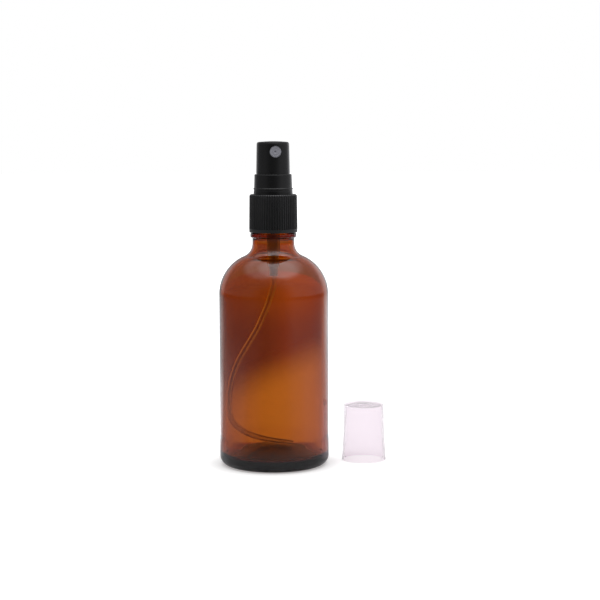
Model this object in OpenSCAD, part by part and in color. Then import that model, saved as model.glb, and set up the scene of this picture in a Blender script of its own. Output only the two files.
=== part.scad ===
// Amber glass spray bottle with a finger pump and a clear overcap that stands beside it.
// Millimetres, +Z up. The origin is on the bottle's axis, on the surface that it stands on.
// The front is -Y, and the nozzle faces it, turned a little towards +X.

/* [Bottle] */
// Outer diameter of the plain body
body_d = 47.2; // [46.4:0.1:47.2]
// Outer diameter of the raised band at the heel
heel_d = 47.5; // [47.3:0.1:48]
// Height where the shoulder starts to turn in
shoulder_z = 74.5; // [72:0.5:80]
// Radius of the round shoulder
shoulder_r = 18; // [17:0.25:18.5]
// Outer diameter of the neck
neck_d = 18.1; // [17.8:0.1:18.4]
// Radius of the hollow between shoulder and neck
neck_fillet = 6; // [5:0.25:7]
// Thickness of the glass wall
glass = 1.9; // [1.6:0.1:2.2]
// Height of the screw finish above the neck bead
finish_h = 12.5; // [12.4:0.1:12.8]

/* [Screw closure] */
// Outer diameter over the ribs at the lower edge
closure_d = 20.9; // [20.7:0.1:21.4]
// Outer diameter over the ribs at the upper edge
closure_top_d = 20.5; // [20.3:0.1:20.6]
// Number of grip ribs
rib_count = 60; // [40:2:72]
// Outer diameter at the top of the smooth collar
collar_d = 16.12; // [16:0.02:16.3]
// Height of the smooth collar
collar_h = 8.6; // [8:0.1:9]

/* [Actuator] */
// Outer diameter at the lower edge of the button
actuator_d = 14.66; // [14.4:0.02:14.7]
// Outer diameter at the upper edge of the button
actuator_top_d = 13.96; // [13.6:0.02:14.2]
// Height of the button from its lower edge to the crown
actuator_h = 18.3; // [18:0.1:19]
// Travel of the button when it is pressed
stroke = 4; // [3:0.1:4.2]
// Angle of the nozzle, turned from the front towards the right
nozzle_turn = 10; // [0:1:90]
// Diameter of the nozzle insert
insert_d = 5.1; // [4.8:0.1:5.2]

/* [Pump] */
// Bore of the pump cylinder
cylinder_d = 6; // [5.9:0.1:6.1]
// Outer diameter of the hollow stem
stem_d = 3.9; // [3.8:0.1:3.9]
// Diameter of the inlet check ball
ball_d = 2.4; // [2.2:0.1:2.4]
// Travel of the piston on the stem before the outlet is wide open
piston_lift = 0.6; // [0.4:0.1:0.6]
// Curls of the return spring
return_curls = 9; // [7:1:11]
// Curls of the precompression spring
precompression_curls = 2.5; // [2:0.25:2.5]
// Outer diameter of the dip tube
tube_d = 2.5; // [2.3:0.1:2.5]
// Bore of the dip tube
tube_bore = 1.3; // [1:0.1:1.5]

/* [Overcap] */
// Height of the overcap
cap_h = 24.8; // [24.4:0.1:26]
// Outer diameter at the open lower rim
cap_rim_d = 19.4; // [19.2:0.02:19.6]
// Outer diameter at the closed top
cap_top_d = 17.44; // [17.2:0.02:17.6]
// Distance of the overcap to the right of the bottle's axis
cap_x = 39.5; // [36:0.5:60]
// Distance of the overcap behind the bottle's axis
cap_y = 7; // [-10:0.5:20]

/* [Hidden] */
$fn = 96;
arc_steps = 14;
overshoot = 1;

// Gaps between pieces that turn or slide on each other
running_gap = 0.04;
seat_gap = 0.02;

// Bottle outside
body_r = body_d / 2;
heel_r = heel_d / 2;
heel_round = 4;
heel_band_top = 10.4;
heel_band_fade = 1.2;
foot_r = heel_r - heel_round;
foot_inner_r = 17.6;
push_up = 2.4;
neck_r = neck_d / 2;
shoulder_c = [body_r - shoulder_r, shoulder_z];
fillet_rise = sqrt(pow(shoulder_r + neck_fillet, 2) - pow(neck_r + neck_fillet - shoulder_c[0], 2));
fillet_c = [neck_r + neck_fillet, shoulder_z + fillet_rise];
blend_angle = atan2(fillet_c[1] - shoulder_c[1], fillet_c[0] - shoulder_c[0]);
bead_z = fillet_c[1] + 2.5;
bead_h = 2;
bead_r = 9.95;
bead_round = 0.6;
finish_z = bead_z + bead_h;
finish_r = 8;
land_z = finish_z + finish_h;
lip_round = 0.5;

// Bottle inside
inner_r = body_r - glass;
bore_r = 6.3;
floor_corner = 2.5;
floor_low = 4;
floor_slope = 29.5;
floor_corner_c = [inner_r - floor_corner, floor_low + floor_corner];
dome_edge_x = floor_corner_c[0] - floor_corner * sin(floor_slope);
dome_edge_z = floor_corner_c[1] - floor_corner * cos(floor_slope);
dome_r = dome_edge_x / sin(floor_slope);
dome_c = [0, dome_edge_z - dome_r * cos(floor_slope)];
throat_z = fillet_c[1] + 1;
throat_rise = 3;

// Stack on top of the neck
gasket_h = 1;
gasket_r = 8.3;
flange_h = 1;
pump_top = land_z + gasket_h + flange_h;
web_h = 2.1;
web_z = pump_top + seat_gap;
closure_top = web_z + web_h;
closure_z = finish_z + 0.3;
closure_bore_r = 9.05;
web_hole_r = 5.15;
rim_h = 1.4;
rim_r = 10.4;
rib_root_r = 10;
rib_pitch = 360 / rib_count;
closure_bevel = 0.5;
collar_z = closure_top - overshoot;
collar_top = closure_top + collar_h;
collar_foot_r = 8.42;
collar_foot_h = 1.6;
collar_bead_r = 8.55;
collar_bead_z = closure_top + 2.35;
collar_bead_round = 0.45;
collar_r = collar_d / 2;
collar_low_r = collar_r + 0.16;
collar_round = 0.3;
collar_bore_r = 7.5;

// Pump levels, counted down from the top of the housing's flange
cup_r = 4.2;
cup_z = pump_top - 3.5;
cup_wall_r = 5;
cylinder_r = cylinder_d / 2;
cylinder_z = pump_top - 13.5;
cylinder_wall_r = 4;
spring_bore_r = 1.95;
spring_wall_r = 2.8;
ledge_z = pump_top - 23;
ball_bore_r = 1.55;
ball_wall_r = 2.35;
inlet_r = 0.7;
seat_z = pump_top - 27;
socket_z = pump_top - 29;
tail_r = 1.75;
tail_z = pump_top - 33;
ball_stop_h = 0.7;
ball_stop_w = 0.6;
ball_stop_r = 1;
vent_r = 0.35;
vent_z = pump_top - 6.4;

// Stem, valve rod and piston at rest
stem_r = stem_d / 2;
stem_bore_r = 0.95;
stem_z = pump_top - 6.5;
stem_flange_r = 2.7;
stem_flange_z = pump_top - 2.5;
stem_flange_h = 1;
stem_stop_z = stem_flange_z + stem_flange_h + seat_gap;
piston_top = pump_top - 5;
piston_z = pump_top - 7.9;
piston_throat_r = 1.25;
piston_step_z = stem_z - piston_lift - 0.1;
piston_lip_h = 0.6;
piston_waist_r = 2.55;
rod_head_r = 2.3;
rod_seat_r = 1.7;
rod_seat_z = piston_z - seat_gap;
rod_head_z = pump_top - 9.3;
rod_pilot_r = 1;
rod_pilot_h = 1.3;
rod_top = pump_top - 3.5;
rod_flat = 0.6;

// Springs
return_wire = 0.4;
return_r = 1.55;
return_z0 = ledge_z + return_wire / 2 + seat_gap;
return_z1 = rod_head_z - return_wire / 2 - seat_gap;
precompression_wire = 0.3;
precompression_r = 2.32;
precompression_z0 = piston_top + precompression_wire / 2 + seat_gap;
precompression_z1 = stem_flange_z - precompression_wire / 2 - seat_gap;
curl_rings = 8;
wire_sides = 6;

// Check ball resting on its 45 degree seat
ball_r = ball_d / 2;
ball_z = seat_z - inlet_r + ball_r / sin(45) + seat_gap;

// Lock ring
ring_neck_r = 5;
ring_bead_r = 5.6;
ring_bead_z = closure_top + 0.1;
ring_bead_h = 0.7;
ring_top_r = 4.4;
ring_top = pump_top + 3.9;
ring_hole_r = stem_r + 0.1;
ring_counterbore_r = 3.1;

// Actuator
actuator_r = actuator_d / 2;
actuator_top_r = actuator_top_d / 2;
actuator_z = closure_top + stroke + 0.4;
actuator_top = actuator_z + actuator_h;
actuator_round = 1;
actuator_crown = 0.3;
actuator_wall = 1;
actuator_roof = 1.3;
post_r = 3.2;
post_z = actuator_z + 2.2;
stem_top = actuator_z + 9;
nozzle_z = actuator_z + 13.9;
feed_r = 0.9;
cross_feed_r = 0.5;
cross_feed_drop = 1.9;
insert_r = insert_d / 2;
insert_face = 6.45;
insert_back = 3.4;
pocket_back = 3;
boss_r = insert_r + 0.8;
pin_r = 1.3;
pin_end = 5.6;
insert_skin = 0.7;
orifice_r = 0.2;
dimple_r = 0.7;
dimple_depth = 0.4;

// Overcap
cap_rim_r = cap_rim_d / 2;
cap_top_r = cap_top_d / 2;
cap_waist_r = 8.93;
cap_waist_z = 12;
cap_wall = 0.7;
cap_roof = 0.6;
cap_round = 0.35;
cap_snap_r = 8.45;
cap_snap_z = 1.2;
cap_snap_h = 0.35;

// Dip tube: points on its middle line, from its socket to its free end just above the bottle's floor
tube_sides = 8;
tube_steps = 3;
tube_top = socket_z - 0.1;
tube_route = [
    [0, 0, tube_top], [0, 0, tail_z], [0, 0, 78.6], [-0.8, 0, 75.5], [-2.4, 0, 70.5], [-4.5, 0, 65.5],
    [-7, 0, 60], [-9.9, 0, 55], [-13, 0, 50], [-15.7, 0, 45], [-17.6, 0, 40],
    [-18.9, 0, 35], [-19.6, 0, 30], [-19.8, 0, 25], [-19.2, 0, 20.8], [-17.6, -0.2, 17.8],
    [-15, -0.6, 15.5], [-11.5, -1.3, 13.5], [-7.2, -2.4, 12.1], [-2.5, -3.6, 11.15],
    [2.5, -4.5, 10.45], [8, -5, 9.7]
];

// Points on an arc about a centre, from one angle to another
function arc(centre, radius, from, to, steps = arc_steps) = [
    for (i = [0:steps])
        let (a = from + (to - from) * i / steps)
        centre + radius * [cos(a), sin(a)]
];

function unit(v) = v / norm(v);

// Smooth curve through four neighbouring route points, at t from 0 to 1 between the middle two
function spline(a, b, c, d, t) =
    0.5 * (2 * b + t * (c - a) + t * t * (2 * a - 5 * b + 4 * c - d) + t * t * t * (3 * b - a - 3 * c + d));

function smooth_path(p, steps) = concat(
    [
        for (i = [0:len(p) - 2], s = [0:steps - 1])
            spline(p[max(i - 1, 0)], p[i], p[i + 1], p[min(i + 2, len(p) - 1)], s / steps)
    ],
    [p[len(p) - 1]]
);

function heading(p, i) = unit(p[min(i + 1, len(p) - 1)] - p[max(i - 1, 0)]);

// One ring of points square to the heading t, starting on the side given by ref
function ring_points(c, t, ref, r, sides) =
    let (u = unit(ref - t * (ref * t)), v = cross(t, u))
    [for (k = [0:sides - 1]) c + r * (cos(360 * k / sides) * u + sin(360 * k / sides) * v)];

function path_rings(p, refs, r, sides) = [
    for (i = [0:len(p) - 1]) each ring_points(p[i], heading(p, i), refs[i], r, sides)
];

// Triangles of a wall through the rings that start at point number first
function wall_faces(rings, sides, first, outward) = [
    for (i = [0:rings - 2], k = [0:sides - 1])
        let (
            n = (k + 1) % sides,
            a = first + i * sides + k,
            b = first + i * sides + n,
            c = a + sides,
            d = b + sides
        )
        each outward ? [[a, c, d], [a, d, b]] : [[a, d, c], [a, b, d]]
];

function cap_faces(sides, first, at_start) = [
    for (k = [1:sides - 2]) at_start ? [first, first + k, first + k + 1] : [first, first + k + 1, first + k]
];

function annulus_faces(sides, outer, inner, at_start) = [
    for (k = [0:sides - 1])
        let (n = (k + 1) % sides)
        each at_start
            ? [[outer + k, outer + n, inner + n], [outer + k, inner + n, inner + k]]
            : [[outer + k, inner + n, outer + n], [outer + k, inner + k, inner + n]]
];

// Solid wire along a path
module swept_wire(path, refs, d, sides) {
    rings = len(path);
    polyhedron(
        points = path_rings(path, refs, d / 2, sides),
        faces = concat(
            wall_faces(rings, sides, 0, true),
            cap_faces(sides, 0, true),
            cap_faces(sides, (rings - 1) * sides, false)
        )
    );
}

// Tube with a bore along a path
module swept_tube(path, refs, d, bore, sides) {
    rings = len(path);
    inner = rings * sides;
    last = (rings - 1) * sides;
    polyhedron(
        points = concat(path_rings(path, refs, d / 2, sides), path_rings(path, refs, bore / 2, sides)),
        faces = concat(
            wall_faces(rings, sides, 0, true),
            wall_faces(rings, sides, inner, false),
            annulus_faces(sides, 0, inner, true),
            annulus_faces(sides, last, inner + last, false)
        )
    );
}

// Middle line of a spring, with a straight end one wire thick before and after the curls
function coil_path(r, z0, z1, curls, wire) =
    let (
        count = round(curls * curl_rings),
        turn = 360 * curls,
        lead = [0, -wire, 0],
        trail = wire * [-sin(turn), cos(turn), 0]
    )
    concat(
        [[r, 0, z0] + lead],
        [for (i = [0:count]) [r * cos(turn * i / count), r * sin(turn * i / count), z0 + (z1 - z0) * i / count]],
        [[r * cos(turn), r * sin(turn), z1] + trail]
    );

function coil_refs(curls) =
    let (count = round(curls * curl_rings), turn = 360 * curls)
    concat(
        [[1, 0, 0]],
        [for (i = [0:count]) [cos(turn * i / count), sin(turn * i / count), 0]],
        [[cos(turn), sin(turn), 0]]
    );

// Least open gap between neighbouring curls of a wire
function least_gap(path, wire) = min([
    for (i = [0:len(path) - curl_rings], j = [i + curl_rings - 2:len(path) - 1])
        norm(path[i] - path[j])
]) - wire;

return_path = coil_path(return_r, return_z0, return_z1, return_curls, return_wire);
precompression_path =
    coil_path(precompression_r, precompression_z0, precompression_z1, precompression_curls, precompression_wire);
echo(return_spring_gap = least_gap(return_path, return_wire));
echo(precompression_spring_gap = least_gap(precompression_path, precompression_wire));

// Blown glass bottle: one wall of outer and inner outline, turned about the axis
module bottle() {
    outside = concat(
        arc([0, push_up - dish_r()], dish_r(), 90, 90 - asin(foot_inner_r / dish_r())),
        arc([foot_r, heel_round], heel_round, -90, 0),
        [[heel_r, heel_band_top], [body_r, heel_band_top + heel_band_fade]],
        arc(shoulder_c, shoulder_r, 0, blend_angle),
        arc(fillet_c, neck_fillet, 180 + blend_angle, 180),
        [[neck_r, bead_z]],
        arc([bead_r - bead_round, bead_z + bead_round], bead_round, -60, 0, 4),
        arc([bead_r - bead_round, finish_z - bead_round], bead_round, 0, 60, 4),
        [[finish_r, finish_z]],
        arc([finish_r - lip_round, land_z - lip_round], lip_round, 0, 90, 5)
    );
    inside = concat(
        arc([bore_r + lip_round, land_z - lip_round], lip_round, 90, 180, 5),
        [[bore_r, throat_z + throat_rise], [neck_r - glass, throat_z]],
        arc(fillet_c, neck_fillet + glass, 180, 180 + blend_angle),
        arc(shoulder_c, shoulder_r - glass, blend_angle, 0),
        arc(floor_corner_c, floor_corner, 0, -90 - floor_slope),
        arc(dome_c, dome_r, 90 - floor_slope, 90)
    );
    color([0.55, 0.24, 0.05])
        rotate_extrude()
            polygon(concat(outside, inside));
}

// Radius of the dished underside, from its rise and its width
function dish_r() = (foot_inner_r * foot_inner_r + push_up * push_up) / (2 * push_up);

// Cross-section of the grip: straight-sided ribs on a round root
module rib_section() {
    crest = closure_d / 2 + overshoot;
    polygon([
        for (i = [0:rib_count - 1], corner = [[-0.3, rib_root_r], [-0.13, crest], [0.13, crest], [0.3, rib_root_r]])
            let (a = (i + corner[0]) * rib_pitch)
            corner[1] * [cos(a), sin(a)]
    ]);
}

// Ribbed screw closure and smooth collar, moulded in one
module closure() {
    grip_z = closure_z + rim_h;
    grip = concat(
        [[0, grip_z], [closure_d / 2, grip_z]],
        [[closure_top_d / 2, closure_top - closure_bevel]],
        [[closure_top_d / 2 - closure_bevel, closure_top], [0, closure_top]]
    );
    collar = concat(
        [[0, collar_z], [collar_foot_r, collar_z], [collar_foot_r, closure_top + collar_foot_h]],
        arc([collar_bead_r - collar_bead_round, collar_bead_z], collar_bead_round, -70, 70, 6),
        [[collar_low_r, collar_bead_z + 0.55]],
        arc([collar_r - collar_round, collar_top - collar_round], collar_round, 0, 90, 4),
        [[0, collar_top]]
    );
    color([0.11, 0.11, 0.12])
        difference() {
            union() {
                intersection() {
                    translate([0, 0, grip_z])
                        linear_extrude(closure_top - grip_z)
                            rib_section();
                    rotate_extrude()
                        polygon(grip);
                }
                translate([0, 0, closure_z])
                    cylinder(r = rim_r, h = rim_h);
                rotate_extrude()
                    polygon(collar);
            }
            translate([0, 0, closure_z - overshoot])
                cylinder(r = closure_bore_r, h = web_z - closure_z + overshoot);
            translate([0, 0, web_z - overshoot])
                cylinder(r = web_hole_r, h = web_h + 2 * overshoot);
            translate([0, 0, closure_top])
                cylinder(r = collar_bore_r, h = collar_h + overshoot);
        }
}

// A cylinder that runs forwards, from one distance to another in front of the axis
module forward_cylinder(r, from, to, z) {
    translate([0, -from, z])
        rotate([90, 0, 0])
            cylinder(r = r, h = to - from);
}

// Hollow push button: skin, stem post, nozzle boss and the liquid's way to the nozzle
module actuator() {
    edge_z = actuator_top - actuator_crown - actuator_round;
    edge_x = actuator_top_r - actuator_round;
    crown_r = (edge_x * edge_x + actuator_crown * actuator_crown) / (2 * actuator_crown);
    skin = concat(
        [[0, actuator_z], [actuator_r, actuator_z]],
        arc([edge_x, edge_z], actuator_round, 0, 90 - asin(edge_x / crown_r), 6),
        arc([0, actuator_top - crown_r], crown_r, 90 - asin(edge_x / crown_r), 90, 8)
    );
    hollow_top = actuator_top - actuator_roof;
    hollow = [
        [0, actuator_z - overshoot], [actuator_r - actuator_wall, actuator_z - overshoot],
        [actuator_top_r - actuator_wall, hollow_top], [0, hollow_top]
    ];
    color([0.1, 0.1, 0.11])
        rotate([0, 0, nozzle_turn])
            difference() {
                rotate_extrude()
                    polygon(skin);
                difference() {
                    rotate_extrude()
                        polygon(hollow);
                    translate([0, 0, post_z])
                        cylinder(r = post_r, h = actuator_h);
                    forward_cylinder(boss_r, 0, actuator_r, nozzle_z);
                }
                translate([0, 0, post_z - overshoot])
                    cylinder(r = stem_r + running_gap, h = stem_top + seat_gap - post_z + overshoot);
                translate([0, 0, stem_top - overshoot])
                    cylinder(r = feed_r, h = nozzle_z - cross_feed_drop + feed_r - stem_top + overshoot);
                forward_cylinder(cross_feed_r, 0, pocket_back + overshoot, nozzle_z - cross_feed_drop);
                difference() {
                    forward_cylinder(insert_r, pocket_back, actuator_r + overshoot, nozzle_z);
                    forward_cylinder(pin_r, 0, pin_end, nozzle_z);
                }
            }
}

// Cup-shaped nozzle with its fine hole in a dimple
module nozzle_insert() {
    cup_end = insert_face - insert_skin;
    color([0.5, 0.5, 0.53])
        rotate([0, 0, nozzle_turn])
            difference() {
                forward_cylinder(insert_r, insert_back, insert_face, nozzle_z);
                forward_cylinder(pin_r + running_gap, insert_back - overshoot, cup_end, nozzle_z);
                forward_cylinder(orifice_r, cup_end - overshoot, insert_face + overshoot, nozzle_z);
                translate([0, -insert_face, nozzle_z])
                    rotate([-90, 0, 0])
                        cylinder(r1 = dimple_r, r2 = orifice_r, h = dimple_depth);
            }
}

// Clear cover, open below, with a snap ring for the bead on the collar
module overcap() {
    roof_z = cap_h - cap_roof;
    outside = concat(
        [[cap_rim_r, 0], [cap_waist_r, cap_waist_z]],
        arc([cap_top_r - cap_round, cap_h - cap_round], cap_round, 0, 90, 6),
        [[0, cap_h]]
    );
    inside = [
        [0, roof_z], [cap_top_r - cap_wall, roof_z], [cap_waist_r - cap_wall, cap_waist_z],
        [cap_rim_r - cap_wall - 0.2, cap_snap_z + 2 * cap_snap_h], [cap_snap_r, cap_snap_z + cap_snap_h],
        [cap_snap_r, cap_snap_z], [cap_rim_r - cap_wall, cap_snap_z - cap_snap_h], [cap_rim_r - cap_wall, 0]
    ];
    color([0.95, 0.92, 0.95, 0.5])
        translate([cap_x, cap_y, 0])
            rotate_extrude()
                polygon(concat(outside, inside));
}

// Soft washer that seals the pump on the rim of the neck
module neck_gasket() {
    color([0.9, 0.9, 0.88])
        translate([0, 0, land_z])
            difference() {
                cylinder(r = gasket_r, h = gasket_h);
                translate([0, 0, -overshoot])
                    cylinder(r = cup_wall_r + 0.1, h = gasket_h + 2 * overshoot);
            }
}

// Stepped pump body: flange, cup, cylinder, spring chamber, ball seat and tube socket
module pump_housing() {
    outside = [
        [tail_r, tail_z], [tail_r, socket_z - 0.4], [ball_wall_r, socket_z + 0.6],
        [ball_wall_r, ledge_z - 0.9], [spring_wall_r, ledge_z - 0.4], [spring_wall_r, cylinder_z - 1.7],
        [cylinder_wall_r, cylinder_z - 0.5], [cylinder_wall_r, cup_z - 1.8], [cup_wall_r, cup_z - 0.8],
        [cup_wall_r, pump_top - flange_h], [gasket_r, pump_top - flange_h], [gasket_r, pump_top]
    ];
    inside = [
        [cup_r, pump_top], [cup_r, cup_z], [cylinder_r, cup_z], [cylinder_r, cylinder_z],
        [spring_bore_r, cylinder_z], [spring_bore_r, ledge_z], [ball_bore_r, ledge_z],
        [ball_bore_r, seat_z + ball_bore_r - inlet_r], [inlet_r, seat_z], [inlet_r, socket_z],
        [tube_d / 2, socket_z], [tube_d / 2, tail_z]
    ];
    color([0.9, 0.9, 0.86]) {
        difference() {
            rotate_extrude()
                polygon(concat(outside, inside));
            forward_cylinder(vent_r, 0, cylinder_wall_r + overshoot, vent_z);
        }
        ball_stops();
    }
}

// Three ribs above the ball that keep it in its chamber
module ball_stops() {
    intersection() {
        translate([0, 0, ledge_z - ball_stop_h])
            cylinder(r = ball_bore_r + 0.2, h = ball_stop_h);
        for (turn = [0:120:240])
            rotate([0, 0, turn])
                translate([ball_stop_r, -ball_stop_w / 2, ledge_z - ball_stop_h - overshoot])
                    cube([ball_bore_r, ball_stop_w, ball_stop_h + 2 * overshoot]);
    }
}

// Snap-in ring that holds the stem down and the closure on
module lock_ring() {
    outside = [
        [cup_r, cup_z], [cup_r, pump_top], [ring_neck_r, pump_top], [ring_neck_r, ring_bead_z],
        [ring_bead_r, ring_bead_z], [ring_bead_r, ring_bead_z + ring_bead_h / 2],
        [ring_top_r + 0.4, ring_bead_z + ring_bead_h], [ring_top_r, ring_bead_z + ring_bead_h], [ring_top_r, ring_top]
    ];
    inside = [
        [ring_hole_r, ring_top], [ring_hole_r, stem_stop_z],
        [ring_counterbore_r, stem_stop_z], [ring_counterbore_r, cup_z]
    ];
    color([0.88, 0.88, 0.86])
        rotate_extrude()
            polygon(concat(outside, inside));
}

// Hollow stem that carries the button, with the collar that stops it under the lock ring
module stem() {
    flange_top = stem_flange_z + stem_flange_h;
    color([0.93, 0.93, 0.9])
        rotate_extrude()
            polygon([
                [stem_bore_r, stem_z], [stem_r, stem_z], [stem_r, stem_flange_z], [stem_flange_r, stem_flange_z],
                [stem_flange_r, flange_top], [stem_r, flange_top], [stem_r, stem_top], [stem_bore_r, stem_top]
            ]);
}

// Rod pressed into the stem, whose head closes the piston from below
module valve_rod() {
    pilot_z = rod_head_z - rod_pilot_h;
    color([0.85, 0.85, 0.85])
        difference() {
            rotate_extrude()
                polygon([
                    [0, pilot_z], [rod_pilot_r, pilot_z], [rod_pilot_r, rod_head_z], [rod_head_r, rod_head_z],
                    [rod_head_r, rod_seat_z - 0.6], [rod_seat_r, rod_seat_z], [stem_bore_r, rod_seat_z],
                    [stem_bore_r, rod_top], [0, rod_top]
                ]);
            for (side = [0, 180])
                rotate([0, 0, side])
                    translate([rod_flat, -overshoot, rod_seat_z])
                        cube([overshoot, 2 * overshoot, rod_top - rod_seat_z + overshoot]);
        }
}

// Sleeve piston with a sealing lip at each end
module piston() {
    lip_r = cylinder_r - running_gap;
    color([0.95, 0.95, 0.93])
        rotate_extrude()
            polygon([
                [piston_throat_r, piston_z], [lip_r, piston_z], [lip_r, piston_z + piston_lip_h],
                [piston_waist_r, piston_z + 2 * piston_lip_h], [piston_waist_r, piston_top - 2 * piston_lip_h],
                [lip_r, piston_top - piston_lip_h], [lip_r, piston_top], [stem_r + running_gap, piston_top],
                [stem_r + running_gap, piston_step_z], [piston_throat_r, piston_step_z]
            ]);
}

// Light spring that holds the piston on its seat
module precompression_spring() {
    color([0.75, 0.76, 0.78])
        swept_wire(precompression_path, coil_refs(precompression_curls), precompression_wire, wire_sides);
}

// Spring that lifts the stem and the button again
module return_spring() {
    color([0.75, 0.76, 0.78])
        swept_wire(return_path, coil_refs(return_curls), return_wire, wire_sides);
}

// Ball that lets liquid up from the tube and not back
module check_ball() {
    color([0.7, 0.72, 0.74])
        translate([0, 0, ball_z])
            sphere(r = ball_r);
}

// Tube from the pump to just above the bottle's floor, bowed towards the wall
module dip_tube() {
    path = smooth_path(tube_route, tube_steps);
    color([0.92, 0.9, 0.84])
        swept_tube(path, [for (p = path) [0, 1, 0]], tube_d, tube_bore, tube_sides);
}

bottle();
closure();
actuator();
nozzle_insert();
overcap();
neck_gasket();
pump_housing();
lock_ring();
stem();
valve_rod();
piston();
precompression_spring();
return_spring();
check_ball();
dip_tube();
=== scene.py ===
"""Looks of the spray bottle: amber glass, black mist pump and clear overcap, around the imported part."""

import math

import bmesh
import bpy
from mathutils import Matrix, Vector


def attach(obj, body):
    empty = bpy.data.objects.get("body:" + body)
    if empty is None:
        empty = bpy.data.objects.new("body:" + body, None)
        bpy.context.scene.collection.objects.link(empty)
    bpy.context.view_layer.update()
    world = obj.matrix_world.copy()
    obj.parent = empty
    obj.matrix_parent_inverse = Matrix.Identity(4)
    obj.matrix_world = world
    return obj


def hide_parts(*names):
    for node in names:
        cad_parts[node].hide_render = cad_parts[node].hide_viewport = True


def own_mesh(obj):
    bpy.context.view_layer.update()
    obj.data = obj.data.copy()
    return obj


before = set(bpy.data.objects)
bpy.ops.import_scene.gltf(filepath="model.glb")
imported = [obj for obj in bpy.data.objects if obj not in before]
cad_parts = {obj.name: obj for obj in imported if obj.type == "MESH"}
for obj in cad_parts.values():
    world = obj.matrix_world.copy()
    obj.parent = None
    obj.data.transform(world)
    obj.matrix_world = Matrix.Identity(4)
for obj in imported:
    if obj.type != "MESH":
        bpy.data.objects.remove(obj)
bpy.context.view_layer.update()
scene = bpy.context.scene
scene.view_settings.view_transform = "Standard"
# Light runs far along inside the clear walls
scene.cycles.max_bounces = 24
scene.cycles.transmission_bounces = 24
scene.cycles.glossy_bounces = 12

# Sizes are in mm and from the part's source; the heel band fades more softly and the ribs are a little deeper
MM = 0.001
SEAT_GAP = 0.02

# Mesh building: what counts as nothing, the most that a rounded corner takes of a side, and how much of a
# wire's or tube's wall is rounded at its ends
TINY = 1e-6
MOST_CUT = 0.45
END_ROUND = 0.35

# Bottle outside
BODY_R = 23.6
HEEL_R = 23.75
HEEL_ROUND = 4.0
BAND_TOP = 10.4
BAND_FADE = 3.2
BAND_STEPS = 8
FOOT_INNER_R = 17.6
PUSH_UP = 2.4
SHOULDER_R = 18.0
SHOULDER_C = (BODY_R - SHOULDER_R, 74.5)
NECK_R = 9.05
FILLET_R = 6.0
FILLET_RISE = math.sqrt((SHOULDER_R + FILLET_R) ** 2 - (NECK_R + FILLET_R - SHOULDER_C[0]) ** 2)
FILLET_C = (NECK_R + FILLET_R, SHOULDER_C[1] + FILLET_RISE)
BLEND_ANGLE = math.degrees(math.atan2(FILLET_RISE, FILLET_C[0] - SHOULDER_C[0]))
BEAD_R = 9.95
BEAD_ROUND = 0.6
BEAD_Z = FILLET_C[1] + 2.5
FINISH_R = 8.0
FINISH_Z = BEAD_Z + 2.0
LAND_Z = FINISH_Z + 12.5
LIP_ROUND = 0.5

# Bottle inside
GLASS_WALL = 1.9
INNER_R = BODY_R - GLASS_WALL
BORE_R = 6.3
THROAT_Z = FILLET_C[1] + 1
THROAT_RISE = 3
FLOOR_CORNER = 2.5
FLOOR_LOW = 4.0
FLOOR_SLOPE = 29.5

# Screw threads, which the solids leave out; H is how far one stands proud, W half its width, and the flank
# is how steeply it rises
THREAD_PITCH = 3.0
THREAD_RUN_OUT = 0.8
THREAD_FLANK = 1.6
BOTTLE_THREAD_H = 0.85
BOTTLE_THREAD_W = 1.05
CLOSURE_THREAD_H = 0.75
CLOSURE_THREAD_W = 0.9

# Closure
PUMP_TOP = LAND_Z + 2.0
WEB_Z = PUMP_TOP + SEAT_GAP
CLOSURE_TOP = WEB_Z + 2.1
CLOSURE_Z = FINISH_Z + 0.3
CLOSURE_BORE_R = 9.05
WEB_HOLE_R = 5.15
RIM_R = 10.4
GRIP_Z = CLOSURE_Z + 1.4
GRIP_R = 10.45
GRIP_TOP_R = 10.25
GRIP_BEVEL = 0.5
COLLAR_TOP = CLOSURE_TOP + 8.6
COLLAR_FOOT_R = 8.42
COLLAR_FOOT_H = 1.6
COLLAR_BEAD_R = 8.55
COLLAR_BEAD_ROUND = 0.45
COLLAR_BEAD_Z = CLOSURE_TOP + 2.35
COLLAR_R = 8.06
COLLAR_LOW_R = 8.22
COLLAR_ROUND = 0.3
COLLAR_BORE_R = 7.5

# Grip ribs, on what lies outside the least radius: the pitch in degrees, and widths as shares of it
GRIP_LEAST_R = 9.7
RIB_ROOT_R = 9.98
RIB_PITCH = 6
RIB_HALF_WIDTH = 0.33
RIB_FLANK = 0.17

# Actuator and nozzle
# How far down from its top the button takes the painted-shade copy of its plastic
SHADED_CROWN = 0.8
NOZZLE_Z = CLOSURE_TOP + 18.3
NOZZLE_FACE = 6.45
NOZZLE_R = 2.55
NOZZLE_ROUND = 0.22
NOZZLE_DEEP = 3.0
NOZZLE_TURN = 10.0
ORIFICE_R = 0.2

# Overcap
CAP_X = 39.5
CAP_Y = 7.0
CAP_H = 24.8
CAP_RIM_R = 9.7
CAP_WAIST_R = 8.93
CAP_WAIST_Z = 12.0
CAP_TOP_R = 8.72
CAP_ROUND = 0.35
CAP_WALL = 0.7
CAP_ROOF = 0.6
CAP_CORNER = 0.3
CAP_SNAP_R = 8.45
CAP_SNAP_Z = 1.2
CAP_SNAP_H = 0.35

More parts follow.
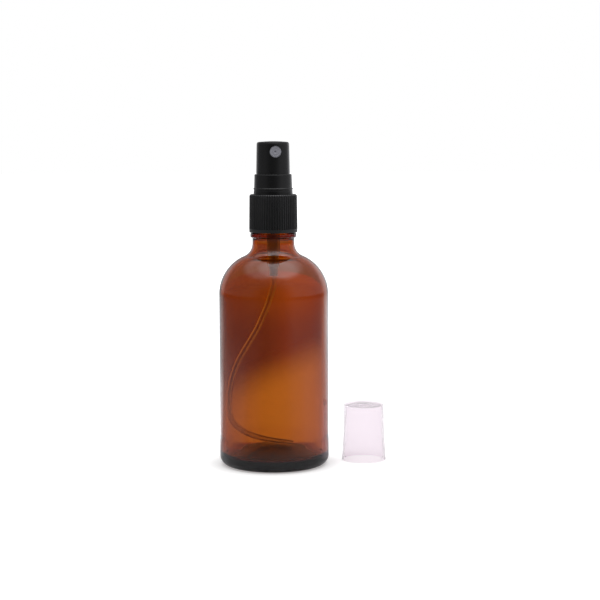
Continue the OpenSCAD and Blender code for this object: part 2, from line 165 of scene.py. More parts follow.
# Dip tube: points on its middle line, from its socket to its free end just above the bottle's floor
TUBE_R = 1.25
TUBE_BORE_R = 0.65
TUBE_TOP = PUMP_TOP - 29.1
TAIL_Z = PUMP_TOP - 33.0
TUBE_ROUTE = [
    (0, 0, TUBE_TOP), (0, 0, TAIL_Z), (0, 0, 78.6), (-0.8, 0, 75.5), (-2.4, 0, 70.5), (-4.5, 0, 65.5),
    (-7, 0, 60), (-9.9, 0, 55), (-13, 0, 50), (-15.7, 0, 45), (-17.6, 0, 40),
    (-18.9, 0, 35), (-19.6, 0, 30), (-19.8, 0, 25), (-19.2, 0, 20.8), (-17.6, -0.2, 17.8),
    (-15, -0.6, 15.5), (-11.5, -1.3, 13.5), (-7.2, -2.4, 12.1), (-2.5, -3.6, 11.15),
    (2.5, -4.5, 10.45), (8, -5, 9.7),
]

# Springs: where their ends sit, and their coils and wire
LEDGE_Z = PUMP_TOP - 23.0
ROD_HEAD_Z = PUMP_TOP - 9.3
RETURN_R = 1.55
RETURN_WIRE_R = 0.2
RETURN_CURLS = 9
PISTON_TOP = PUMP_TOP - 5.0
FLANGE_Z = PUMP_TOP - 2.5
PRECOMPRESSION_R = 2.32
PRECOMPRESSION_WIRE_R = 0.15
PRECOMPRESSION_CURLS = 2.5
RINGS_PER_CURL = 28
WIRE_SIDES = 10

# Camera at the photograph's angle: place in metres, turns in degrees
LENS = 98.9
SENSOR = 36.0
CAMERA_AT = (0, -0.7106, 0.1494)
CAMERA_PAN = -0.919
CAMERA_TILT = 90 - 6.233
CAMERA_ROLL = -0.21

# Soft box overhead, in metres, and where the gloss sees it
BOX_AT = (0.05, -0.12, 1.05)
BOX_SIZE = (0.9, 0.8)
BOX_ENERGY = 4.5
BOX_DIRECTION = (0.12, -0.1, 0.988)

# Floor, in metres, just below the foot
FLOOR_R = 4.0
FLOOR_DROP = 0.00005

# Colours of the studio
PURE_WHITE = (1, 1, 1, 1)
PAPER = (0.8, 0.8, 0.8, 1)
# Dimmer paper, painted shade beside the foot, which only the gloss sees
NEAR_PAPER_PAINTED_SHADE = (0.6, 0.6, 0.62, 1)
COOL_WHITE = (0.97, 0.97, 1.0, 1)
WARM_WHITE = (1, 0.97, 0.97, 1)
WALL_WHITE = (0.9, 0.87, 0.88, 1)
ROOM_BROWN = (0.3, 0.11, 0.05, 1)
ROOM_TAN = (0.9, 0.6, 0.4, 1)


# Mesh building


def arc(centre, radius, start, end, steps):
    """Points on an arc about a centre, from one angle to another, in degrees."""
    angles = [math.radians(start + (end - start) * i / steps) for i in range(steps + 1)]
    return [(centre[0] + radius * math.cos(a), centre[1] + radius * math.sin(a)) for a in angles]


def soften(outline, radius, closed=False, steps=3, least=18):
    """Rounds the corners of an outline that turn by more than least degrees."""
    made = []
    count = len(outline)
    for i, point in enumerate(outline):
        corner = Vector(point)
        back = Vector(outline[i - 1]) - corner
        on = Vector(outline[(i + 1) % count]) - corner
        is_end = not closed and i in (0, count - 1)
        if is_end or min(back.length, on.length) < TINY or math.degrees((-back).angle(on)) < least:
            made.append(tuple(point))
            continue
        cut = min(radius, MOST_CUT * back.length, MOST_CUT * on.length)
        first = corner + back.normalized() * cut
        last = corner + on.normalized() * cut
        for s in range(steps + 1):
            t = s / steps
            made.append(tuple((1 - t) ** 2 * first + 2 * t * (1 - t) * corner + t * t * last))
    return made


def rows(start, end, step):
    """Points on a straight line, no further apart than step."""
    a, b = Vector(start), Vector(end)
    count = max(1, math.ceil((b - a).length / step))
    return [tuple(a.lerp(b, i / count)) for i in range(count + 1)]


def finish_mesh(bm, name, sharp=32):
    """Makes a smooth object of the mesh, with edges that turn by more than sharp degrees kept crisp."""
    bmesh.ops.recalc_face_normals(bm, faces=bm.faces)
    mesh = bpy.data.meshes.new(name)
    bm.to_mesh(mesh)
    bm.free()
    mesh.polygons.foreach_set("use_smooth", [True] * len(mesh.polygons))
    mesh.set_sharp_from_angle(angle=math.radians(sharp))
    obj = bpy.data.objects.new(name, mesh)
    scene.collection.objects.link(obj)
    return obj


def lathe(name, outline, segments, shape=None, closed=False, sharp=32):
    """Turns an outline of (radius, height) points about the vertical axis; shape may move the radii."""
    bm = bmesh.new()
    rings = []
    for r, z in outline:
        if r < TINY:
            rings.append([bm.verts.new((0, 0, z * MM))])
            continue
        ring = []
        for k in range(segments):
            a = 2 * math.pi * k / segments
            radius = (shape(r, z, a) if shape else r) * MM
            ring.append(bm.verts.new((radius * math.cos(a), radius * math.sin(a), z * MM)))
        rings.append(ring)
    pairs = list(zip(rings, rings[1:])) + ([(rings[-1], rings[0])] if closed else [])
    for lower, upper in pairs:
        for k in range(segments):
            n = (k + 1) % segments
            if len(lower) > 1 and len(upper) > 1:
                bm.faces.new((lower[k], lower[n], upper[n], upper[k]))
            elif len(lower) > 1:
                bm.faces.new((lower[k], lower[n], upper[0]))
            elif len(upper) > 1:
                bm.faces.new((lower[0], upper[n], upper[k]))
    return finish_mesh(bm, name, sharp)


def sweep(name, path, radius, sides, bore=0.0):
    """A round wire, or a tube with a bore, along a path, with slightly rounded ends."""
    points = [Vector(p) for p in path]
    last = len(points) - 1
    heads = [(points[min(i + 1, last)] - points[max(i - 1, 0)]).normalized() for i in range(last + 1)]
    side = heads[0].orthogonal().normalized()
    frames = []
    for p, head in zip(points, heads):
        side = (side - head * side.dot(head)).normalized()
        frames.append((p, side.copy(), head.cross(side)))
    edge = END_ROUND * (radius - bore) / 2
    shifts = [edge] + [0.0] * (last - 1) + [-edge]
    turns = [2 * math.pi * k / sides for k in range(sides)]
    bm = bmesh.new()

    def ring(at, r, shift=0.0):
        p, u, v = frames[at]
        p = p + heads[at] * shift
        return [bm.verts.new((p + r * (math.cos(a) * u + math.sin(a) * v)) * MM) for a in turns]

    def wall(r, end_r):
        along = [ring(i, r, shift) for i, shift in enumerate(shifts)]
        return [ring(0, end_r)] + along + [ring(last, end_r)]

    outer = wall(radius, radius - edge)
    loops = outer
    if bore:
        loops = outer + wall(bore, bore + edge)[::-1] + [outer[0]]
    for a, b in zip(loops, loops[1:]):
        for k in range(sides):
            n = (k + 1) % sides
            bm.faces.new((a[k], a[n], b[n], b[k]))
    if not bore:
        bm.faces.new(outer[0])
        bm.faces.new(outer[-1])
    return finish_mesh(bm, name)


def smooth_path(points, steps):
    """A curve through the points, steps to a stretch."""
    made = []
    last = len(points) - 1
    for i in range(last):
        a, b = Vector(points[max(i - 1, 0)]), Vector(points[i])
        c, d = Vector(points[i + 1]), Vector(points[min(i + 2, last)])
        for s in range(steps):
            t = s / steps
            bend = t * t * (2 * a - 5 * b + 4 * c - d)
            made.append(0.5 * (2 * b + t * (c - a) + bend + t**3 * (3 * b - a - 3 * c + d)))
    return made + [Vector(points[-1])]


def coil(radius, low, high, curls):
    """Middle line of a spring."""
    count = round(curls * RINGS_PER_CURL)
    made = []
    for i in range(count + 1):
        angle = 2 * math.pi * curls * i / count
        made.append((radius * math.cos(angle), radius * math.sin(angle), low + (high - low) * i / count))
    return made


def turned(degrees, axis):
    return Matrix.Rotation(math.radians(degrees), 4, axis)


# Shader building


def add(tree, kind, inputs=None, **attributes):
    """A new node, with each input linked to a socket or set to a value."""
    made = tree.nodes.new(kind)
    for key, value in attributes.items():
        setattr(made, key, value)
    for key, value in (inputs or {}).items():
        if isinstance(value, bpy.types.NodeSocket):
            tree.links.new(value, made.inputs[key])
        else:
            made.inputs[key].default_value = value
    return made


def calc(tree, operation, a, b=0.0):
    return add(tree, "ShaderNodeMath", {0: a, 1: b}, operation=operation).outputs[0]


def plus(tree, a, b):
    return calc(tree, "ADD", a, b)


def times(tree, a, b):
    return calc(tree, "MULTIPLY", a, b)


def ramp(tree, value, low, high, to_low=0.0, to_high=1.0):
    """Eases from to_low to to_high as value goes from low to high."""
    inputs = {"Value": value, "From Min": low, "From Max": high, "To Min": to_low, "To Max": to_high}
    return add(tree, "ShaderNodeMapRange", inputs, interpolation_type="SMOOTHSTEP").outputs["Result"]


def mix(tree, factor, a, b, kind="RGBA"):
    """From a, where factor is 0, to b, where it is 1."""
    return add(tree, "ShaderNodeMix", {"Factor": factor, "A": a, "B": b}, data_type=kind).outputs["Result"]


def mix_shaders(tree, factor, a, b):
    return add(tree, "ShaderNodeMixShader", {0: factor, 1: a, 2: b}).outputs[0]


def emit(tree, colour, strength, kind="ShaderNodeEmission"):
    return add(tree, kind, {"Color": colour, "Strength": strength}).outputs[0]


def noise(tree, scale, detail, stretch=None):
    where = add(tree, "ShaderNodeTexCoord").outputs["Object"]
    if stretch:
        where = add(tree, "ShaderNodeMapping", {"Vector": where, "Scale": stretch}).outputs["Vector"]
    return add(tree, "ShaderNodeTexNoise", {"Vector": where, "Scale": scale, "Detail": detail}).outputs["Fac"]


def relief(tree, shader, height, strength, depth):
    bump = add(tree, "ShaderNodeBump", {"Height": height, "Strength": strength, "Distance": depth})
    tree.links.new(bump.outputs["Normal"], shader.inputs["Normal"])


def through_bottle(tree):
    """1 for rays bent four times, as by both walls of the bottle; 0 for most of those through the overcap."""
    return ramp(tree, add(tree, "ShaderNodeLightPath").outputs["Transmission Depth"], 3.2, 3.8)


def by_ray(tree, other, glossy, transmitted, seen):
    """Chooses a shader by the kind of ray that arrives."""
    path = add(tree, "ShaderNodeLightPath")
    mixed = mix_shaders(tree, path.outputs["Is Glossy Ray"], other, glossy)
    mixed = mix_shaders(tree, path.outputs["Is Transmission Ray"], mixed, transmitted)
    return mix_shaders(tree, path.outputs["Is Camera Ray"], mixed, seen)


def new_material(name):
    made = bpy.data.materials.new(name)
    made.use_nodes = True
    return made, made.node_tree, made.node_tree.nodes["Principled BSDF"]


def plain(shader, **values):
    """Sets constants on the shader's own sockets."""
    for key, value in values.items():
        shader.inputs[key.replace("_", " ")].default_value = value


def surface(name, dark, light, rough, blotch, grain, depth, stretch=None, **values):
    """An opaque or cloudy finish: blotches between two colours, a fine grain in relief and in the gloss."""
    made, tree, shader = new_material(name)
    colour = mix(tree, noise(tree, blotch, detail=4.0), (*dark, 1), (*light, 1))
    tree.links.new(colour, shader.inputs["Base Color"])
    fine = noise(tree, grain, detail=2.0, stretch=stretch)
    tree.links.new(ramp(tree, fine, 0.25, 0.75, rough - 0.05, rough + 0.05), shader.inputs["Roughness"])
    relief(tree, shader, fine, strength=0.35, depth=depth)
    plain(shader, **values)
    return made


def glass(name, ior, rough, colour, density, wave, depth, tint=PURE_WHITE, cover=1.0):
    """Clear through and through: its colour comes from the thickness, and a slow ripple from the making."""
    made, tree, shader = new_material(name)
    plain(shader, Base_Color=tint, Transmission_Weight=1.0, IOR=ior, Roughness=rough, Alpha=cover)
    ripple = noise(tree, wave, detail=1.0, stretch=(1, 1, 0.35))
    relief(tree, shader, ripple, strength=1.0, depth=depth)
    volume = add(tree, "ShaderNodeVolumeAbsorption", {"Color": (*colour, 1), "Density": density})
    tree.links.new(volume.outputs["Volume"], tree.nodes["Material Output"].inputs["Volume"])
    return made


# Studio


def make_camera():
    data = bpy.data.cameras.new("camera")
    data.lens = LENS
    data.sensor_width = SENSOR
    data.clip_start = 0.01
    camera = bpy.data.objects.new("camera", data)
    scene.collection.objects.link(camera)
    aim = turned(CAMERA_PAN, "Z") @ turned(CAMERA_TILT, "X") @ turned(CAMERA_ROLL, "Z")
    camera.matrix_world = Matrix.Translation(CAMERA_AT) @ aim
    scene.camera = camera


def make_soft_box():
    box = bpy.data.lights.new("soft_box", "AREA")
    box.shape = "RECTANGLE"
    box.size, box.size_y = BOX_SIZE
    box.energy = BOX_ENERGY
    lamp = bpy.data.objects.new("soft_box", box)
    lamp.location = BOX_AT
    lamp.visible_glossy = False
    lamp.visible_transmission = False
    scene.collection.objects.link(lamp)


def make_tent():
    """Even light from all round, white to the camera; gloss and glass see a pale tent instead."""
    world = bpy.data.worlds.new("tent")
    world.use_nodes = True
    scene.world = world
    tree = world.node_tree
    tree.nodes.clear()
    look = add(tree, "ShaderNodeTexCoord").outputs["Generated"]
    x, y, z = add(tree, "ShaderNodeSeparateXYZ", {0: look}).outputs
    aim = add(tree, "ShaderNodeVectorMath", {0: look, 1: BOX_DIRECTION}, operation="DOT_PRODUCT")
    box = ramp(tree, aim.outputs["Value"], 0.82, 0.93, 0.0, 1.2)

    # Roof with the soft box in it, which ends before the front
    roof = plus(tree, ramp(tree, z, 0.66, 0.84, 0.0, 0.95), box)
    roof = times(tree, roof, ramp(tree, y, -0.68, -0.5))
    # Walls, brighter to the right and darkest behind the camera
    walls = times(tree, ramp(tree, x, -0.7, 0.7, 0.26, 0.5), ramp(tree, y, -0.98, -0.6, 0.2, 1.0))
    # Two bright flanks low behind the object, which line its edges
    back = times(tree, ramp(tree, y, 0.55, 0.75), ramp(tree, z, 0.25, 0.5, 1.0, 0.0))
    flanks = plus(tree, ramp(tree, x, 0.12, 0.4, 0.0, 0.5), ramp(tree, x, -0.12, -0.4, 0.0, 0.4))
    level = plus(tree, plus(tree, walls, times(tree, back, flanks)), roof)
    # Through the bottle, the tent is dimmer low down
    not_bottle = calc(tree, "SUBTRACT", 1.0, through_bottle(tree))
    dusk = calc(tree, "MAXIMUM", ramp(tree, z, 0.05, 0.4, 0.5, 0.95), not_bottle)

    kind = "ShaderNodeBackground"
    fill = emit(tree, PURE_WHITE, 0.62, kind)
    tent = emit(tree, COOL_WHITE, level, kind)
    behind = emit(tree, WARM_WHITE, dusk, kind)
    white = emit(tree, PURE_WHITE, 1.0, kind)
    add(tree, "ShaderNodeOutputWorld", {"Surface": by_ray(tree, fill, tent, behind, white)})


def lit(tree, albedo, strength):
    """Paper that takes the light and shadow of the scene, and glows a little besides."""
    diffuse = add(tree, "ShaderNodeBsdfDiffuse", {"Color": albedo}).outputs[0]
    return add(tree, "ShaderNodeAddShader", {0: diffuse, 1: emit(tree, PURE_WHITE, strength)}).outputs[0]


def floor_in_glass(tree, far, x, side, ahead):
    """A pale table with a soft edge, and past it the wall, with a brown room that only the bottle shows."""
    slant = ramp(tree, x, -0.07, 0.08, -0.085, 0.085)
    on_table = ramp(tree, calc(tree, "SUBTRACT", far, slant), 0.19, 0.36, 1.0, 0.0)
    clear_of_foot = ramp(tree, far, 0.021, 0.034)
    table = lit(tree, PAPER, times(tree, clear_of_foot, ramp(tree, x, -0.05, 0.03, 0.08, 0.36)))

    # The room fills the back and the left, and pales with distance
    deep = through_bottle(tree)
    depth = plus(tree, ramp(tree, far, 0.42, 0.7, 0.0, 0.35), ramp(tree, far, 1.0, 1.3, 0.0, 0.15))
    room = mix(tree, depth, ROOM_BROWN, ROOM_TAN)
    sector = times(tree, ramp(tree, ahead, 0.2, 0.5), ramp(tree, side, 0.25, 0.5, 1.0, 0.0))
    wall = mix(tree, times(tree, sector, deep), WALL_WHITE, room)
    # How bright it all is, seen through the overcap and through the bottle
    distant = ramp(tree, far, 0.45, 0.9, 0.0, 1.1)
    in_cap = calc(tree, "MAXIMUM", ramp(tree, side, -0.3, 0.0, 0.55, 1.0), distant)
    in_bottle = ramp(tree, side, -0.03, 0.05, 0.85, 1.35)
    beyond = emit(tree, wall, mix(tree, deep, in_cap, in_bottle, "FLOAT"))
    return mix_shaders(tree, on_table, beyond, table)


def floor_in_gloss(tree, far, side, ahead):
    """Paper close by, dimmer than the floor the camera sees: painted shade beside the foot on top of the real
    shadow; farther out a table, brighter at the right, the back and its corners.
    """
    # Brighter to the right and to the back, dim behind the camera and far away
    level = ramp(tree, side, -0.7, 0.7, 0.28, 0.48)
    level = times(tree, level, ramp(tree, ahead, -0.99, -0.7, 0.45, 1.0))
    level = times(tree, level, ramp(tree, ahead, 0.3, 0.8, 1.0, 1.9))
    level = times(tree, level, ramp(tree, far, 0.45, 0.9, 1.0, 0.3))
    # A strip of light on either side
    aside = ramp(tree, calc(tree, "ABSOLUTE", side), 0.75, 0.95)
    beside = times(tree, aside, ramp(tree, far, 0.25, 0.5, 0.25, 0.0))
    # The two corners at the back, which line the edges of the glass
    left = times(tree, ramp(tree, side, -0.15, -0.45), ramp(tree, far, 0.22, 0.32, 0.7, 0.3))
    right = times(tree, ramp(tree, side, 0.15, 0.45), ramp(tree, far, 0.16, 0.7, 0.05, 0.6))
    corners = times(tree, plus(tree, left, right), ramp(tree, ahead, 0.6, 0.75))
    level = plus(tree, plus(tree, level, beside), corners)

    # Close by, the gloss sees dimmer paper: painted shade beside the foot, on top of the real shadow
    near = ramp(tree, far, 0.03, 0.09, 1.0, 0.0)
    return mix_shaders(tree, near, emit(tree, COOL_WHITE, level), lit(tree, NEAR_PAPER_PAINTED_SHADE, 0.1))


def make_floor():
    """White to the camera, with the object's shadow; gloss and glass see the table instead."""
    bm = bmesh.new()
    bmesh.ops.create_circle(bm, cap_ends=True, radius=FLOOR_R, segments=96)
    floor = finish_mesh(bm, "floor")
    floor.location.z = -FLOOR_DROP
    paper, tree, _ = new_material("paper")
    tree.nodes.clear()
    spot = add(tree, "ShaderNodeTexCoord").outputs["Object"]
    far = add(tree, "ShaderNodeVectorMath", {0: spot}, operation="LENGTH").outputs["Value"]
    x, y, _ = add(tree, "ShaderNodeSeparateXYZ", {0: spot}).outputs
    side = calc(tree, "DIVIDE", x, far)
    ahead = calc(tree, "DIVIDE", y, far)
    glow = plus(tree, ramp(tree, far, 0.022, 0.034, 0.34, 0.6), ramp(tree, far, 0.2, 0.8, 0.0, 0.4))
    mixed = by_ray(
        tree,
        other=add(tree, "ShaderNodeBsdfDiffuse", {"Color": PAPER}).outputs[0],
        glossy=floor_in_gloss(tree, far, side, ahead),
        transmitted=floor_in_glass(tree, far, x, side, ahead),
        seen=lit(tree, PAPER, glow),
    )
    add(tree, "ShaderNodeOutputMaterial", {"Surface": mixed})
    floor.data.materials.append(paper)


# Materials: noise scales are per metre, depths in metres

AMBER = glass(
    "amber_glass", ior=1.52, rough=0.01, colour=(0.841, 0.592, 0.0), density=1500.0, wave=45.0, depth=0.00025
)
CLEAR = glass(
    "clear_plastic", ior=1.04, rough=0.05, colour=(0.5, 0.47, 0.5), density=60.0, wave=60.0, depth=0.0001,
    tint=(0.9, 0.81, 0.88, 1), cover=0.5,
)
BLACK = surface(
    "black_plastic", dark=(0.0025, 0.0025, 0.0027), light=(0.0055, 0.0055, 0.0059), rough=0.32,
    blotch=220.0, grain=5200.0, depth=0.00003,
)
# Painted light: the closure's own black plastic again, painted paler for the light that the wider ribbed
# skirt catches
GRIP_PAINTED_LIGHTER = surface(
    "grip_plastic_painted_lighter", dark=(0.011, 0.011, 0.0116), light=(0.016, 0.016, 0.0168), rough=0.44,
    blotch=220.0, grain=5200.0, depth=0.00003,
)
BUTTON = surface(
    "button_plastic", dark=(0.0045, 0.0045, 0.0048), light=(0.008, 0.008, 0.0084), rough=0.3,
    blotch=180.0, grain=6000.0, depth=0.00002,
)
# Painted shade: the button's plastic again, rougher and with its reflection turned down, so that its top
# renders darker
BUTTON_TOP_PAINTED_SHADE = surface(
    "button_top_painted_shade", dark=(0.0045, 0.0045, 0.0048), light=(0.008, 0.008, 0.0084), rough=0.4,
    blotch=180.0, grain=6000.0, depth=0.00002, Specular_IOR_Level=0.12,
)
NOZZLE = surface(
    "nozzle_plastic", dark=(0.25, 0.25, 0.29), light=(0.31, 0.31, 0.35), rough=0.4,
    blotch=500.0, grain=6000.0, depth=0.00002,
)
FOAM = surface(
    "gasket_foam", dark=(0.7, 0.7, 0.67), light=(0.85, 0.85, 0.82), rough=0.8,
    blotch=600.0, grain=3500.0, depth=0.0001,
)
NATURAL = surface(
    "natural_plastic", dark=(0.6, 0.57, 0.5), light=(0.7, 0.67, 0.6), rough=0.4,
    blotch=160.0, grain=4000.0, depth=0.00002, Transmission_Weight=0.85, IOR=1.3,
)
WHITE = surface(
    "stem_plastic", dark=(0.74, 0.74, 0.72), light=(0.84, 0.84, 0.82), rough=0.4,
    blotch=200.0, grain=5000.0, depth=0.00002,
)
STEEL = surface(
    "spring_steel", dark=(0.5, 0.5, 0.51), light=(0.66, 0.66, 0.67), rough=0.28,
    blotch=300.0, grain=2500.0, depth=0.00002, stretch=(1, 1, 0.1), Metallic=1.0,
)
TUBE = surface(
    "tube_plastic", dark=(0.8, 0.78, 0.7), light=(0.88, 0.86, 0.78), rough=0.16,
    blotch=120.0, grain=3000.0, depth=0.00002, Transmission_Weight=0.97, IOR=1.15,
)


# Pieces


def dress(obj, material, body, node):
    """Gives a piece its material and its body, and lets it stand for a node."""
    obj.data.materials.append(material)
    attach(obj, body)
    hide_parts(node)


def ridge(z, angle, first, last, width):
    """Height, 0 to 1, of a right-hand thread that winds from first to last."""
    best = 0.0
    for lap in range(-1, 3):
        level = angle / (2 * math.pi) + lap
        middle = first + THREAD_PITCH * level
        end = min((middle - first) / THREAD_RUN_OUT, (last - middle) / THREAD_RUN_OUT, 1.0)
        off = abs(z - middle) / width
        if end > 0 and off < 1:
            best = max(best, end * min(1.0, THREAD_FLANK * (1 - off)))
    return best


def bottle_outside():
    """Outline from the middle of the foot to the lip."""
    dish = (FOOT_INNER_R**2 + PUSH_UP**2) / (2 * PUSH_UP)
    dish_edge = 90 - math.degrees(math.asin(FOOT_INNER_R / dish))
    band_edge = []
    for i in range(BAND_STEPS + 1):
        t = i / BAND_STEPS
        proud = (HEEL_R - BODY_R) * (1 + math.cos(math.pi * t)) / 2
        band_edge.append((BODY_R + proud, BAND_TOP + BAND_FADE * t))
    return (
        [(0.0, PUSH_UP)]
        + arc((0, PUSH_UP - dish), dish, 90, dish_edge, steps=10)[1:]
        + arc((HEEL_R - HEEL_ROUND, HEEL_ROUND), HEEL_ROUND, -90, 0, steps=12)
        + rows((HEEL_R, HEEL_ROUND + 0.8), (HEEL_R, BAND_TOP - 0.8), step=1.5)
        + band_edge
        + rows((BODY_R, BAND_TOP + 5), (BODY_R, SHOULDER_C[1] - 1), step=8)
        + arc(SHOULDER_C, SHOULDER_R, 0, BLEND_ANGLE, steps=28)
        + arc(FILLET_C, FILLET_R, 180 + BLEND_ANGLE, 180, steps=16)
        + [(NECK_R, BEAD_Z)]
        + arc((BEAD_R - BEAD_ROUND, BEAD_Z + BEAD_ROUND), BEAD_ROUND, -60, 0, steps=5)
        + arc((BEAD_R - BEAD_ROUND, FINISH_Z - BEAD_ROUND), BEAD_ROUND, 0, 60, steps=5)
        + [(FINISH_R, FINISH_Z)]
        + rows((FINISH_R, FINISH_Z + 0.4), (FINISH_R, LAND_Z - 0.8), step=0.22)
        + arc((FINISH_R - LIP_ROUND, LAND_Z - LIP_ROUND), LIP_ROUND, 0, 90, steps=6)
    )


def bottle_inside():
    """Outline from the lip down to the middle of the domed floor."""
    slope = math.radians(FLOOR_SLOPE)
    corner = (INNER_R - FLOOR_CORNER, FLOOR_LOW + FLOOR_CORNER)
    dome_x = corner[0] - FLOOR_CORNER * math.sin(slope)
    dome_z = corner[1] - FLOOR_CORNER * math.cos(slope)
    dome_r = dome_x / math.sin(slope)
    return (
        arc((BORE_R + LIP_ROUND, LAND_Z - LIP_ROUND), LIP_ROUND, 90, 180, steps=6)
        + rows((BORE_R, LAND_Z - 2), (BORE_R, THROAT_Z + THROAT_RISE), step=3)
        + [(NECK_R - GLASS_WALL, THROAT_Z)]
        + arc(FILLET_C, FILLET_R + GLASS_WALL, 180, 180 + BLEND_ANGLE, steps=16)
        + arc(SHOULDER_C, SHOULDER_R - GLASS_WALL, BLEND_ANGLE, 0, steps=28)
        + rows((INNER_R, SHOULDER_C[1] - 1), (INNER_R, corner[1] + 1), step=8)
        + arc(corner, FLOOR_CORNER, 0, -90 - FLOOR_SLOPE, steps=14)
        + arc((0, dome_z - dome_r * math.cos(slope)), dome_r, 90 - FLOOR_SLOPE, 90, steps=14)[1:-1]
        + [(0.0, dome_z + dome_r * (1 - math.cos(slope)))]
    )


def threaded(r, z, angle):
    """Raises the thread on the bottle's finish."""
    if abs(r - FINISH_R) < 0.05 and FINISH_Z + 0.3 < z < LAND_Z - 0.7:
        return r + BOTTLE_THREAD_H * ridge(z, angle, FINISH_Z + 2.2, LAND_Z - 2.2, BOTTLE_THREAD_W)
    return r


def make_bottle():
    """One wall of glass, with the screw thread raised on its finish."""
    outline = soften(bottle_outside(), radius=0.9)[:-1] + bottle_inside()
    bottle = lathe("bottle_glass", outline, segments=160, shape=threaded)
    dress(bottle, AMBER, "bottle", "bottle")


def closure_outline():
    """Outline of the closed wall, from the lower edge up the outside and down the inside."""
    skirt = (
        [(CLOSURE_BORE_R, CLOSURE_Z), (RIM_R, CLOSURE_Z), (RIM_R, GRIP_Z), (GRIP_R, GRIP_Z + 0.12)]
        + rows((GRIP_R - 0.01, GRIP_Z + 0.4), (GRIP_TOP_R + 0.01, CLOSURE_TOP - 0.62), step=3)
        + [(GRIP_TOP_R - 0.05, CLOSURE_TOP - 0.42), (GRIP_TOP_R - GRIP_BEVEL, CLOSURE_TOP)]
    )
    collar = (
        [(COLLAR_FOOT_R, CLOSURE_TOP), (COLLAR_FOOT_R, CLOSURE_TOP + COLLAR_FOOT_H)]
        + arc((COLLAR_BEAD_R - COLLAR_BEAD_ROUND, COLLAR_BEAD_Z), COLLAR_BEAD_ROUND, -70, 70, steps=8)
        + [(COLLAR_LOW_R, COLLAR_BEAD_Z + 0.55)]
        + arc((COLLAR_R - COLLAR_ROUND, COLLAR_TOP - COLLAR_ROUND), COLLAR_ROUND, 0, 90, steps=5)
    )
    bore = [
        (COLLAR_BORE_R, COLLAR_TOP), (COLLAR_BORE_R, CLOSURE_TOP), (WEB_HOLE_R, CLOSURE_TOP),
        (WEB_HOLE_R, WEB_Z), (CLOSURE_BORE_R, WEB_Z),
    ]
    thread = rows((CLOSURE_BORE_R, WEB_Z - 0.3), (CLOSURE_BORE_R, CLOSURE_Z + 0.5), step=0.3)
    made = soften(skirt, radius=0.12, steps=2) + soften(collar, radius=0.12, steps=2)
    return made + soften(bore, radius=0.15, steps=2) + thread


def ribbed(r, z, angle):
    """Cuts the grooves between the grip ribs, and raises the thread in the closure's bore."""
    if r > GRIP_LEAST_R and GRIP_Z + 0.1 < z < CLOSURE_TOP - 0.2:
        along = abs((math.degrees(angle) / RIB_PITCH + 0.5) % 1 - 0.5)
        crest = max(0.0, min(1.0, (RIB_HALF_WIDTH - along) / RIB_FLANK))
        return r - (r - RIB_ROOT_R) * (1 - crest * crest * (3 - 2 * crest))
    if r < CLOSURE_BORE_R + 0.01 and CLOSURE_Z + 0.4 < z < WEB_Z - 0.2:
        proud = ridge(z + THREAD_PITCH / 2, angle, FINISH_Z + 4.2, LAND_Z, CLOSURE_THREAD_W)
        return r - CLOSURE_THREAD_H * proud
    return r


def make_closure():
    """Ribbed grip, plain rim, beaded collar and the thread inside; the collar is glossier, and darker because
    the grip is painted paler: painted light for the light that the wider ribbed skirt catches.
    """
    outline = closure_outline()
    closure = lathe("closure_shell", outline, segments=480, shape=ribbed, closed=True, sharp=40)
    dress(closure, BLACK, "closure", "closure")
    closure.data.materials.append(GRIP_PAINTED_LIGHTER)
    # Facets off the collar take the grip's copy of the black, painted paler as painted light
    for facet in closure.data.polygons:
        on_collar = CLOSURE_TOP - 0.3 < facet.center.z / MM < COLLAR_TOP - 0.32
        facet.material_index = int(not on_collar)


def make_nozzle():
    """A cup with a rounded edge, fine rings on its face, a shallow dish and the fine hole."""
    face = (
        [(0.0, -1.2), (ORIFICE_R, -1.1), (ORIFICE_R, -0.42), (0.75, 0.0), (1.25, 0.03)]
        + [(1.35, -0.08), (1.6, -0.1), (1.75, 0.02), (2.3, 0.04)]
        + arc((NOZZLE_R - NOZZLE_ROUND, -0.2), NOZZLE_ROUND, 80, 0, steps=5)
        + [(NOZZLE_R, -NOZZLE_DEEP), (0.0, -NOZZLE_DEEP)]
    )
    nozzle = lathe("nozzle", soften(face, radius=0.08, steps=2), segments=72)
    place = Matrix.Translation((0, -NOZZLE_FACE * MM, NOZZLE_Z * MM))
    nozzle.data.transform(turned(NOZZLE_TURN, "Z") @ place @ turned(90, "X"))
    dress(nozzle, NOZZLE, "actuator", "nozzle_insert")


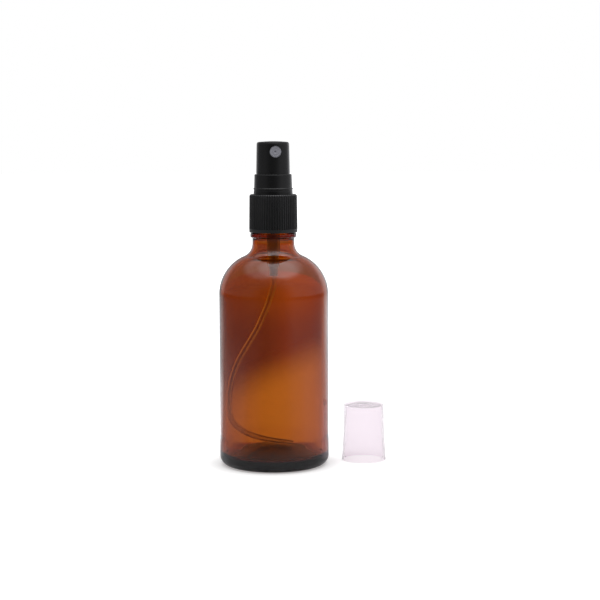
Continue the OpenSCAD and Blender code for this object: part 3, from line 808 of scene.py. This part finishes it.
def make_overcap():
    """Thin clear wall, open below, with the snap ring inside its rim."""
    under_roof = CAP_H - CAP_ROOF
    rim_bore = CAP_RIM_R - CAP_WALL
    shell = (
        rows((CAP_RIM_R, 0.0), (CAP_WAIST_R + 0.03, CAP_WAIST_Z - 0.5), step=2.5)
        + rows((CAP_WAIST_R - 0.01, CAP_WAIST_Z + 0.5), (CAP_TOP_R, CAP_H - 1), step=4)
        + arc((CAP_TOP_R - CAP_ROUND, CAP_H - CAP_ROUND), CAP_ROUND, 0, 90, steps=6)
        + [(0.0, CAP_H), (0.0, under_roof), (CAP_TOP_R - CAP_WALL - CAP_CORNER, under_roof)]
        + [(CAP_TOP_R - CAP_WALL, under_roof - CAP_CORNER), (CAP_WAIST_R - CAP_WALL, CAP_WAIST_Z)]
        + [(CAP_SNAP_R + CAP_SNAP_H, CAP_SNAP_Z + 2 * CAP_SNAP_H), (CAP_SNAP_R, CAP_SNAP_Z + CAP_SNAP_H)]
        + [(CAP_SNAP_R, CAP_SNAP_Z), (rim_bore, CAP_SNAP_Z - CAP_SNAP_H), (rim_bore, 0.0)]
    )
    outline = soften(shell, radius=0.35, closed=True, steps=4, least=12)
    cap = lathe("overcap_shell", outline, segments=128, closed=True)
    cap.data.transform(Matrix.Translation((CAP_X * MM, CAP_Y * MM, 0)))
    dress(cap, CLEAR, "overcap", "overcap")


def make_dip_tube():
    """A smooth tube on the same route as the solid."""
    tube = sweep("dip_tube_smooth", smooth_path(TUBE_ROUTE, steps=6), TUBE_R, sides=20, bore=TUBE_BORE_R)
    dress(tube, TUBE, "pump", "dip_tube")


def make_return_spring():
    """Stands on the housing's ledge and reaches up to the rod's head, on a mesh of its own."""
    low = LEDGE_Z + RETURN_WIRE_R + SEAT_GAP
    high = ROD_HEAD_Z - RETURN_WIRE_R - SEAT_GAP
    spring = sweep("return_coil", coil(RETURN_R, low, high, RETURN_CURLS), RETURN_WIRE_R, WIRE_SIDES)
    dress(spring, STEEL, "pump", "return_spring")
    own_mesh(spring)


def make_precompression_spring():
    """Hangs under the stem's flange, down to the piston's top, on a mesh of its own."""
    low = PISTON_TOP + PRECOMPRESSION_WIRE_R + SEAT_GAP
    high = FLANGE_Z - PRECOMPRESSION_WIRE_R - SEAT_GAP
    path = coil(PRECOMPRESSION_R, low, high, PRECOMPRESSION_CURLS)
    spring = sweep("precompression_coil", path, PRECOMPRESSION_WIRE_R, WIRE_SIDES)
    dress(spring, STEEL, "stem", "precompression_spring")
    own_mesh(spring)


def dress_solids():
    """Materials of the solids that keep their shape; the button's top is duller than its side, a copy of its
    plastic with the reflection turned down: painted shade that renders the top darker.
    """
    for name, material in {
        "actuator": BUTTON, "neck_gasket": FOAM, "pump_housing": NATURAL, "lock_ring": NATURAL,
        "stem": WHITE, "valve_rod": WHITE, "piston": WHITE, "check_ball": STEEL,
    }.items():
        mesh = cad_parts[name].data
        mesh.materials.clear()
        mesh.materials.append(material)
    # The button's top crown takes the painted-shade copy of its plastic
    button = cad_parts["actuator"].data
    button.materials.append(BUTTON_TOP_PAINTED_SHADE)
    top = max(v.co.z for v in button.vertices)
    for facet in button.polygons:
        facet.material_index = int(facet.center.z > top - SHADED_CROWN * MM and facet.normal.z > 0.5)


make_camera()
make_soft_box()
make_tent()
make_floor()
make_bottle()
make_closure()
make_nozzle()
make_overcap()
make_dip_tube()
make_return_spring()
make_precompression_spring()
dress_solids()
